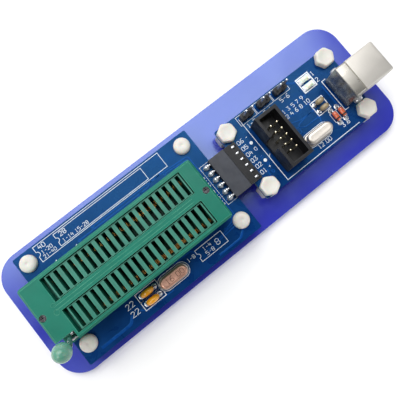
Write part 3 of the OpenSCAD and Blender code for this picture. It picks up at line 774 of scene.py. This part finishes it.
def usb_socket():
    """Folded steel shell with its rear band, seam, spring windows, mouth lip and tabs."""
    x0, x1 = usb.lo.x, usb.hi.x
    y_mid = usb.mid.y
    width, height = 12.0, usb.hi.z - board_top - 0.05
    z_mid = board_top + 0.05 + height / 2

    def section(x, inset, round_r=0.7):
        """A ring of the shell at x, inset from its outside."""
        return [(x, y_mid + y, z_mid + z)
                for y, z in rounded_rectangle(width - 2 * inset, height - 2 * inset, round_r)]

    seam = x0 + 4.3
    band = Shape().add(loft([section(*ring) for ring in (
        (x0 + 0.12, 0.5, 0.45), (x0 + 0.25, 0.14), (x0 + 0.6, 0.1), (seam - 0.25, 0.1),
        (seam - 0.12, 0.26), (seam + 0.1, 0.3))]))
    piece("usb_rear_band", band, "band_metal", slot="shell_metal")
    rings = [section(*ring) for ring in (
        (seam - 0.02, 0.28), (seam + 0.16, 0), (x1 - 0.9, 0), (x1 - 0.5, 0.03),
        (x1 - 0.12, 0.08), (x1, 0.3, 0.6))]
    # The mouth: square lower corners, slanted upper ones
    half_w, low, slant, top_half, high = 4.37, 1.63, 7.35, 2.65, 9.62
    upper = [(half_w + (top_half - half_w) * k / 4, slant + (high - slant) * k / 4)
             for k in range(5)]
    lower = [(half_w - 0.05 * k, low + 0.2 - 0.05 * k) for k in range(5)]
    around = upper + [(-y, z) for y, z in reversed(upper)]
    around += [(-y, z) for y, z in lower] + list(reversed(lower))
    mouth = [(x1, y_mid + y, board_top + z) for y, z in around]
    inner = [(x1 - 0.9, y, z) for _, y, z in mouth]
    rings += [[(x1 - 0.02, y, z) for _, y, z in mouth], inner]
    shell = Shape().add(loft(rings, (True, False)))
    # Pressed spring on each side wall
    for s in (-1, 1):
        wall = y_mid + s * width / 2
        shell.add(loft([[(x0 + 9.6 + x * grow_x, wall + s * out, z_mid + z * grow_z)
                         for x, z in rounded_rectangle(5.2, 2.4, 0.4)]
                        for grow_x, grow_z, out in ((1, 1, -0.05), (0.93, 0.85, 0.12))]))
    piece("usb_folded_shell", shell, "shell_metal", "usb_shell")

    # Rear cover: two folded leaves that meet at a seam, with a pressed line round each
    rear = Shape()
    for s in (-1, 1):
        leaf = rounded_rectangle(width / 2 - 0.42, height - 0.75, 0.35)
        middle = y_mid + s * (width / 4 - 0.12)
        for grow_y, grow_z, deep, face in ((1, 1, 0.3, 0.02), (0.8, 0.88, 0.05, 0.0)):
            rear.add(loft([[(x0 + depth, middle + y * grow_y * step, z_mid + z * grow_z * step)
                            for y, z in leaf]
                           for step, depth in ((1.0, deep), (1.0, face + 0.05), (0.975, face))]))
    piece("usb_rear_cover", rear, "dark_shell", slot="shell_metal")

    tabs = Shape()
    tab_x = x0 + 5.2
    for s in (-1, 1):
        tab_y = y_mid + s * (width / 2 + 0.03)
        tabs.add(tube([(tab_x, tab_y, tail_z + 0.1), (tab_x, tab_y, board_top + 2.4)], 0.2,
                      square=True))
        tabs.add(slab(1.9, 0.4, tail_z + 0.3, board_top + 2.3, 0.1), (tab_x, tab_y, 0))
        tabs.add(solder_blob(3.3, 2.3, 1.5), (tab_x, tab_y + s * 0.45, board_top))
    piece("usb_tabs_soldered", tabs, "solder", slot="shell_metal", sharp=60)


# ---- Board printing, tracks and solder ----

# Low and high sides of the printed strips, and their usual width
PRINT_Z0 = board_top - 0.01
PRINT_Z1 = board_top + 0.035
LINE = 0.2

DIGITS = {
    "0": [[(1, 0), (3, 0), (4, 1), (4, 5), (3, 6), (1, 6), (0, 5), (0, 1), (1, 0)]],
    "1": [[(1, 5), (2, 6), (2, 0)], [(1, 0), (3, 0)]],
    "2": [[(0, 5), (1, 6), (3, 6), (4, 5), (4, 4), (0, 0), (4, 0)]],
    "3": [[(0, 6), (4, 6), (2, 3.5), (4, 2), (4, 1), (3, 0), (1, 0), (0, 1)]],
    "4": [[(1, 6), (0, 2.4), (4, 2.4)], [(3, 4.6), (3, 0)]],
    "5": [[(4, 6), (0, 6), (0, 3.5), (3, 3.5), (4, 2.5), (4, 1), (3, 0), (0, 0)]],
    "6": [[(4, 6), (2, 6), (0, 3), (0, 1), (1, 0), (3, 0), (4, 1), (4, 2), (3, 3), (0, 3)]],
    "7": [[(0, 6), (4, 6), (1, 0)]],
    "8": [[(1, 3), (0, 4), (0, 5), (1, 6), (3, 6), (4, 5), (4, 4), (3, 3), (1, 3), (0, 2), (0, 1),
           (1, 0), (3, 0), (4, 1), (4, 2), (3, 3)]],
    "9": [[(4, 3), (1, 3), (0, 4), (0, 5), (1, 6), (3, 6), (4, 5), (4, 3), (2, 0)]],
    "-": [[(0.5, 3), (3.5, 3)]],
    "+": [[(0, 3), (4, 3)], [(2, 1), (2, 5)]],
    ".": [[(1.6, 0), (2.2, 0)]],
}


def write(shape, text, x, y, height, line=LINE, z0=PRINT_Z0, z1=PRINT_Z1):
    """Writes digits with plain strokes from (x, y) along +X."""
    unit = height / 6
    for mark in text:
        for stroke in DIGITS.get(mark, []):
            shape.add(ribbon([(x + u * unit, y + v * unit) for u, v in stroke], line, z0, z1))
        x += unit * (3.4 if mark in ". " else 5.6)


def printed(shape, line, width=LINE, closed=False):
    """A printed line."""
    shape.add(ribbon(line, width, PRINT_Z0, PRINT_Z1, closed))


def outline(shape, x0, y0, x1, y1, width=LINE):
    """A printed rectangle."""
    printed(shape, [(x0, y0), (x1, y0), (x1, y1), (x0, y1)], width, True)


def can_outline(shape, can, extra_x, extra_y, width):
    """A printed oval round a crystal's box."""
    line = oval(can.size.x + extra_x, can.size.y + extra_y)
    printed(shape, [(can.mid.x + x, can.mid.y + y) for x, y in line], width, True)


def chip_outline(shape, x0, y0, x1, y1, notch):
    """A printed chip outline with a half-round notch at its left end."""
    mid = (y0 + y1) / 2
    printed(shape, [(x0, mid - notch), (x0, y0), (x1, y0), (x1, y1), (x0, y1), (x0, mid + notch)])
    printed(shape, arc(x0, mid, notch, 90, -90))


def target_print():
    """Printing on the target board, placed from the board's and the socket's edges."""
    shape = Shape()
    left, right = target.lo.x + 7.6, target.hi.x - 12.2
    high, low = target.hi.y - 0.65, cover.hi.y + 4.5
    small = cover.lo.y - 1.3
    disc = Box("disc_capacitors")
    x0, x1, split = disc.mid.x - 4.1, disc.mid.x + 4.1, disc.mid.y
    # Outlines of a forty-pin, a twenty-eight-pin and an eight-pin chip
    chip_outline(shape, left, low, right, high, 0.9)
    chip_outline(shape, left + 7.7, low + 0.5, right - 7.6, high - 0.65, 0.8)
    chip_outline(shape, right - 10.6, small - 4.35, right + 0.3, small, 0.75)
    # Pin counts and ranges in the outlines, pin-one marks by the socket, values of the discs
    for mark in (
            ("40", left + 1.5, high - 1.9, 1.5), ("1-20", left + 1.5, high - 3.65, 1.15, 0.16),
            ("21-40", left + 1.2, low + 0.5, 1.1, 0.16), ("28", left + 9.4, high - 2.55, 1.5),
            ("1-14 15-28", left + 9.2, low + 1.0, 1.15, 0.16),
            ("1", left + 3.1, cover.hi.y + 0.6, 1.8),
            ("1", left + 11.2, cover.hi.y + 0.6, 1.8),
            ("1-4", right - 8.0, small - 1.9, 1.25, 0.17),
            ("5-8", right - 8.0, small - 3.75, 1.25, 0.17), ("8", right - 3.3, small - 3.2, 2.0),
            ("1-8", right - 14.4, small - 1.7, 1.15, 0.17),
            ("22", x0 - 4.6, split + 0.55, 1.8, 0.22), ("22", x0 - 4.6, split - 2.35, 1.8, 0.22)):
        write(shape, *mark)
    outline(shape, x0, split, x1, disc.hi.y + 0.45, 0.3)
    outline(shape, x0, disc.lo.y - 0.45, x1, split, 0.3)
    can_outline(shape, Box("target_crystal_foot"), 0.8, 0.8, LINE)
    # Way numbers beside the link
    for number, y in enumerate(link_rows()):
        write(shape, str(6 - number), cover.hi.x + 1.3, y - 0.7, 1.4, 0.18)
    strip = Box("socket_strip")
    outline(shape, cover.hi.x + 2.9, strip.lo.y - 0.1, target.hi.x - 0.4, strip.hi.y + 0.1, 0.14)
    piece("target_board_print", shape, "white_print", slot="")


def programmer_print():
    """Printing on the programmer board."""
    shape = Shape()
    # Way numbers beside the plug strip, and a second column of marks and dots
    x = Box("pin_strip_pins").hi.x + 1.4
    for number, y in enumerate(link_rows()):
        write(shape, f"0{number + 1}", x - 0.2, y - 0.7, 1.4, 0.19)
        if number not in (1, 4):
            write(shape, "+-.0"[number % 4], x + 3.3, y - 0.6, 1.2, 0.17)
        else:
            shape.add(lathe([(0.62, PRINT_Z0), (0.6, PRINT_Z1), (0.02, PRINT_Z1 + 0.01)], 20),
                      (x + 3.8, y, 0))
    # Two rows of pin numbers beside the box header
    for text, y in (("1 3 5 7 9", 6.3), ("2 4 6 8 10", 4.2)):
        write(shape, text, shroud.hi.x + 3.4, shroud.mid.y + y, 1.35, 0.19)
    # Frame round the box header, with a tick at its key slot
    frame_x, edge_y = shroud.lo.x - 1.45, prog.lo.y + 0.75
    printed(shape, [(frame_x, shroud.hi.y + 4.5), (frame_x, edge_y), (prog.hi.x - 7.6, edge_y)], 0.24)
    printed(shape, [(frame_x + 0.1, shroud.mid.y - 2), (frame_x + 0.9, shroud.mid.y - 1.4)])
    # Jumper boxes with their numbers
    jumpers = Box("jumper_blocks")
    step = (jumpers.size.x - 2 * PITCH) / 2
    for k in range(3):
        mid = jumpers.lo.x + PITCH + k * step
        outline(shape, mid - 3.5, jumpers.lo.y - 0.7, mid + 3.5, jumpers.hi.y + 0.35, 0.18)
        write(shape, f"{2 * k + 1}-{2 * k + 2}", mid - 1.9, jumpers.lo.y - 2.7, 1.45)
    # Lamp box, with a number for each lamp
    lamp = Box("status_lamps")
    outline(shape, lamp.lo.x - 0.55, lamp.lo.y - 0.45, lamp.hi.x + 0.6, lamp.hi.y + 0.5, 0.4)
    write(shape, "1", lamp.hi.x + 1.2, lamp.hi.y - 1.7, 1.5)
    write(shape, "2", lamp.hi.x + 1.2, lamp.lo.y + 0.1, 1.5)
    # Small capacitor box
    cap = Box("small_capacitors")
    outline(shape, cap.lo.x - 0.9, cap.lo.y - 0.35, cap.hi.x + 0.9, cap.hi.y + 0.35, 0.34)
    # Crystal outline and value, diode outlines and value
    can = Box("programmer_crystal_foot")
    can_outline(shape, can, 0.7, 0.6, 0.24)
    write(shape, "12.00", can.mid.x - 2.6, can.lo.y - 2.0, 1.4)
    diode = Box("diode_glass")
    write(shape, "3.6", diode.mid.x - 1.4, diode.lo.y - 2.9, 1.4)
    for x in (diode.lo.x + 0.9, diode.hi.x - 0.9):
        outline(shape, x - 1.15, diode.lo.y - 0.1, x + 1.15, diode.hi.y + 0.1, 0.16)
    # Outline of the USB socket, open towards its mouth
    printed(shape, [(usb.lo.x + 1.0, usb.lo.y - 0.2), (usb.lo.x - 0.7, usb.lo.y - 0.2),
                    (usb.lo.x - 0.7, usb.hi.y + 0.2), (usb.lo.x + 1.0, usb.hi.y + 0.2)], 0.26)
    piece("programmer_board_print", shape, "white_print", slot="")


def tracks():
    """Copper under the mask, as low ridges with rounded vias."""
    z0, z1 = board_top - 0.01, board_top + 0.022
    runs, vias = Shape(), Shape()

    def run(corners, width=0.45):
        """A track with rounded corners."""
        runs.add(ribbon(smooth_path(corners, 0.9, 3), width, z0, z1))

    def via(x, y):
        """A ring round a filled hole."""
        vias.add(lathe([(0.62, z0), (0.58, z1 + 0.01), (0.36, z1 + 0.015), (0.3, z0 + 0.01),
                        (0.02, z0)], 20), (x, y, 0))

    # Target board: from the link along the socket's right end, and along the upper edge
    for k, y in enumerate(link_rows()):
        lane = k % 3
        x = cover.hi.x + 0.9 + 0.75 * lane
        side, wall = (1, cover.hi.y) if k >= 3 else (-1, cover.lo.y)
        end = wall + side * (1.2 + 0.9 * lane)
        run([(target.hi.x - 2.6, y), (x, y), (x, end), (x - 4 - 5 * lane, end + side)])
        via(x - 4 - 5 * lane, end + side)
    for k in range(4):
        y = cover.hi.y + 0.9 + 0.95 * k
        run([(target.lo.x + 9 + 6 * k, y), (target.mid.x + 4 + 5 * k, y),
             (target.mid.x + 6 + 5 * k, y + 1.2)])
        via(target.lo.x + 9 + 6 * k, y)
    can = Box("target_crystal_foot")
    disc = Box("disc_capacitors")
    run([(can.lo.x + 3, can.lo.y - 1.1), (disc.lo.x - 1, can.lo.y - 1.1),
         (disc.lo.x - 3, can.lo.y + 0.6)])
    run([(can.hi.x - 3, can.hi.y + 0.8), (can.hi.x + 4, can.hi.y + 0.8),
         (can.hi.x + 5.5, can.mid.y)])
    run([(target.lo.x + 6, target.lo.y + 2.0), (disc.lo.x - 8, target.lo.y + 2.0),
         (disc.lo.x - 6, target.lo.y + 4.0)], 1.1)
    run([(target.hi.x - 17, target.lo.y + 1.4), (target.hi.x - 8, target.lo.y + 1.4),
         (target.hi.x - 4, target.lo.y + 4.4)], 0.8)
    # Programmer board: from the box header towards the small parts and the socket
    cap = Box("small_capacitors")
    foot = Box("programmer_crystal_foot")
    for k in range(5):
        y = shroud.mid.y + (k - 1) * 2.3
        end_x, end_y = cap.lo.x - 1.4 + 0.2 * k, y - 2.4 + 0.6 * k
        run([(shroud.hi.x - 0.5, y), (shroud.hi.x + 3.5, y), (shroud.hi.x + 6.5, end_y),
             (end_x, end_y)], 0.4)
        via(end_x, end_y)
    run([(foot.lo.x + 1.5, foot.hi.y + 0.6), (foot.lo.x + 2.5, foot.hi.y + 4.5),
         (cap.lo.x - 2, foot.hi.y + 5.5)])
    run([(foot.hi.x - 1.5, foot.hi.y + 0.4), (foot.hi.x - 0.6, foot.hi.y + 2.4),
         (cap.lo.x - 0.8, cap.lo.y - 0.6)])
    run([(prog.lo.x + 9, prog.hi.y - 1.6), (prog.mid.x + 6, prog.hi.y - 1.6),
         (prog.mid.x + 8, prog.hi.y - 3.4), (usb.lo.x - 3.2, prog.hi.y - 3.4)], 0.8)
    run([(usb.lo.x - 1.6, usb.lo.y + 1), (usb.lo.x - 1.6, usb.hi.y - 1)], 0.7)
    run([(prog.lo.x + 2, prog.lo.y + 4.4), (prog.lo.x + 5.5, prog.lo.y + 4.4),
         (prog.lo.x + 6.4, prog.lo.y + 8)], 0.5)
    for k in range(5):
        via(prog.lo.x + 7.6 + 0.3 * (k % 2), prog.lo.y + 6.2 + 3.1 * k)
    piece("masked_tracks", runs, "mask_over_copper", slot="blue_board")
    piece("masked_vias", vias, "mask_over_copper", slot="blue_board")


def pads_and_joints():
    """Tinned pad rings round the open leads, and a joint under the board at every pin."""
    pads, joints = Shape(), Shape()
    ring = [(0.42, board_top - 0.01), (0.95, board_top - 0.005), (0.9, board_top + 0.03),
            (0.46, board_top + 0.035), (0.42, board_top - 0.01)]
    link = [(x, y) for y in link_rows() for x in link_legs()]
    header = Box("box_pins")
    jumper = Box("jumper_pins")
    half_pin = 0.32
    step = (jumper.size.x - PITCH - 2 * half_pin) / 2
    pins = contact_places() + link
    pins += [(header.mid.x + s * PITCH / 2, header.mid.y + i * PITCH)
             for s in (-1, 1) for i in range(-2, 3)]
    pins += [(jumper.lo.x + half_pin + k * step + s * PITCH, jumper.mid.y)
             for k in range(3) for s in (0, 1)]
    leads = [corner.xy for node, margin in (("diode_leads", 0.24), ("disc_leads", 0.27))
             for corner in Box(node).corners(margin)]
    for x, y in link + leads:
        pads.add(loft([level(circle(r, 24), z) for r, z in ring], (False, False)), (x, y, 0))
    for x, y in pins + leads:
        points, faces = solder_mound(0.85, 1.05)
        joints.add(([(px, py, -pz) for px, py, pz in points], faces), (x, y, board_bottom))
    piece("tinned_pads", pads, "solder", slot="tinned_wire")
    piece("underside_joints", joints, "solder", slot="tinned_wire", sharp=60)


def cover_marks():
    """Raised marks and low ridges moulded on the socket's cover."""
    shape = Shape()
    z0, z1 = cover.hi.z - 0.02, cover.hi.z + 0.1
    x, y = cover.lo.x + 6.0, cover.mid.y
    shape.add(ribbon(arc(x, y - 1.1, 0.85, 0, 345, 24), 0.16, z0, z1))
    shape.add(ribbon(arc(x + 0.3, y + 0.8, 0.95, 25, 155), 0.16, z0, z1))
    shape.add(ribbon([(x - 0.5, y + 0.95), (x + 1.1, y + 0.95)], 0.14, z0, z1))
    # Two low ridges along the middle bar
    for side in (-1, 1):
        ridge = [(comb.lo.x + 4, y + side * 0.55), (comb.hi.x - 3, y + side * 0.55)]
        shape.add(ribbon(ridge, 0.22, z0, cover.hi.z + 0.06))
    piece("cover_marks", shape, "green_plastic")


# ---- Floor, light and camera ----

def make_floor():
    """A pale sheet that the plate lies on, with the faintest wave."""
    side, cells, clearance = 1600, 40, 0.06
    points, faces = [], []
    for j in range(cells + 1):
        for i in range(cells + 1):
            x, y = side * (i / cells - 0.5), side * (j / cells - 0.5)
            points.append((x, y, -clearance - 0.02 * sin(x / 90) * cos(y / 70)))
    for j in range(cells):
        for i in range(cells):
            a = j * (cells + 1) + i
            faces.append((a, a + 1, a + cells + 2, a + cells + 1))
    data = bpy.data.meshes.new("floor")
    data.from_pydata([Vector(p) * MM for p in points], [], faces)
    data.shade_smooth()
    floor = add_mesh("floor", data, "floor")


def area_light(name, place, aim, size, power, colour=(1, 1, 1)):
    """A soft rectangular light; places and size in metres."""
    data = bpy.data.lights.new(name, "AREA")
    data.shape = "RECTANGLE"
    data.size, data.size_y = size
    data.energy = power
    data.color = colour
    lamp = bpy.data.objects.new(name, data)
    lamp.location = place
    lamp.rotation_mode = "QUATERNION"
    lamp.rotation_quaternion = (Vector(aim) - Vector(place)).to_track_quat("-Z", "Y")
    bpy.context.scene.collection.objects.link(lamp)


def make_lights():
    """Room that is pale near the floor and dim overhead, a wide soft panel, and two small lights."""
    world = bpy.data.worlds.new("studio")
    world.use_nodes = True
    tree = world.node_tree
    back = tree.nodes["Background"]
    place = tree.nodes.new("ShaderNodeTexCoord")
    split = tree.nodes.new("ShaderNodeSeparateXYZ")
    ramp = tree.nodes.new("ShaderNodeValToRGB")
    stops = ((0.0, 0.92), (0.22, 0.55), (0.6, 0.13), (1.0, 0.1))
    for position, _ in stops[1:-1]:
        ramp.color_ramp.elements.new(position)
    for element, (position, grey) in zip(ramp.color_ramp.elements, stops):
        element.position = position
        element.color = (grey * 0.98, grey * 0.99, grey, 1)
    tree.links.new(place.outputs["Generated"], split.inputs["Vector"])
    tree.links.new(split.outputs["Z"], ramp.inputs["Fac"])
    tree.links.new(ramp.outputs["Color"], back.inputs["Color"])
    back.inputs["Strength"].default_value = 1.0
    bpy.context.scene.world = world
    area_light("sky_panel", (0.02, 0.4, 0.6), (0.0, 0.3, 0), (0.9, 0.64), 7.0)
    area_light("key", (-0.45, -0.1, 0.55), (0, 0, 0), (0.3, 0.3), 1.3, (1.0, 0.98, 0.95))
    area_light("fill", (0.4, -0.45, 0.4), (0.02, 0, 0), (0.35, 0.35), 0.7, (0.95, 0.97, 1.0))


def make_camera():
    """A camera nearly straight above, leaning from the socket's lever end, rolled as it was held."""
    azimuth, elevation, roll = radians(212.4), radians(82.4), radians(19.1)
    distance, focal_share = 0.1557, 1.15
    away = Vector((cos(elevation) * cos(azimuth),
                   cos(elevation) * sin(azimuth), sin(elevation)))
    aim = Vector((plate.mid.x - 4.05, plate.mid.y - 1.6, plate.hi.z + 5)) * MM
    data = bpy.data.cameras.new("camera")
    data.sensor_width = 36
    data.lens = data.sensor_width * focal_share
    data.clip_start = 0.01
    camera = bpy.data.objects.new("camera", data)
    camera.rotation_mode = "QUATERNION"
    camera.rotation_quaternion = away.to_track_quat("Z", "Y") @ Quaternion((0, 0, 1), roll)
    camera.location = aim + away * distance
    bpy.context.scene.collection.objects.link(camera)
    bpy.context.scene.camera = camera


dress_cad_nodes()
screw_heads()
crystals()
capacitors()
diodes()
lamps()
link_pins()
socket_contacts()
lever()
usb_socket()
target_print()
programmer_print()
tracks()
pads_and_joints()
cover_marks()
make_floor()
make_lights()
make_camera()
bpy.context.scene.view_settings.view_transform = "Standard"
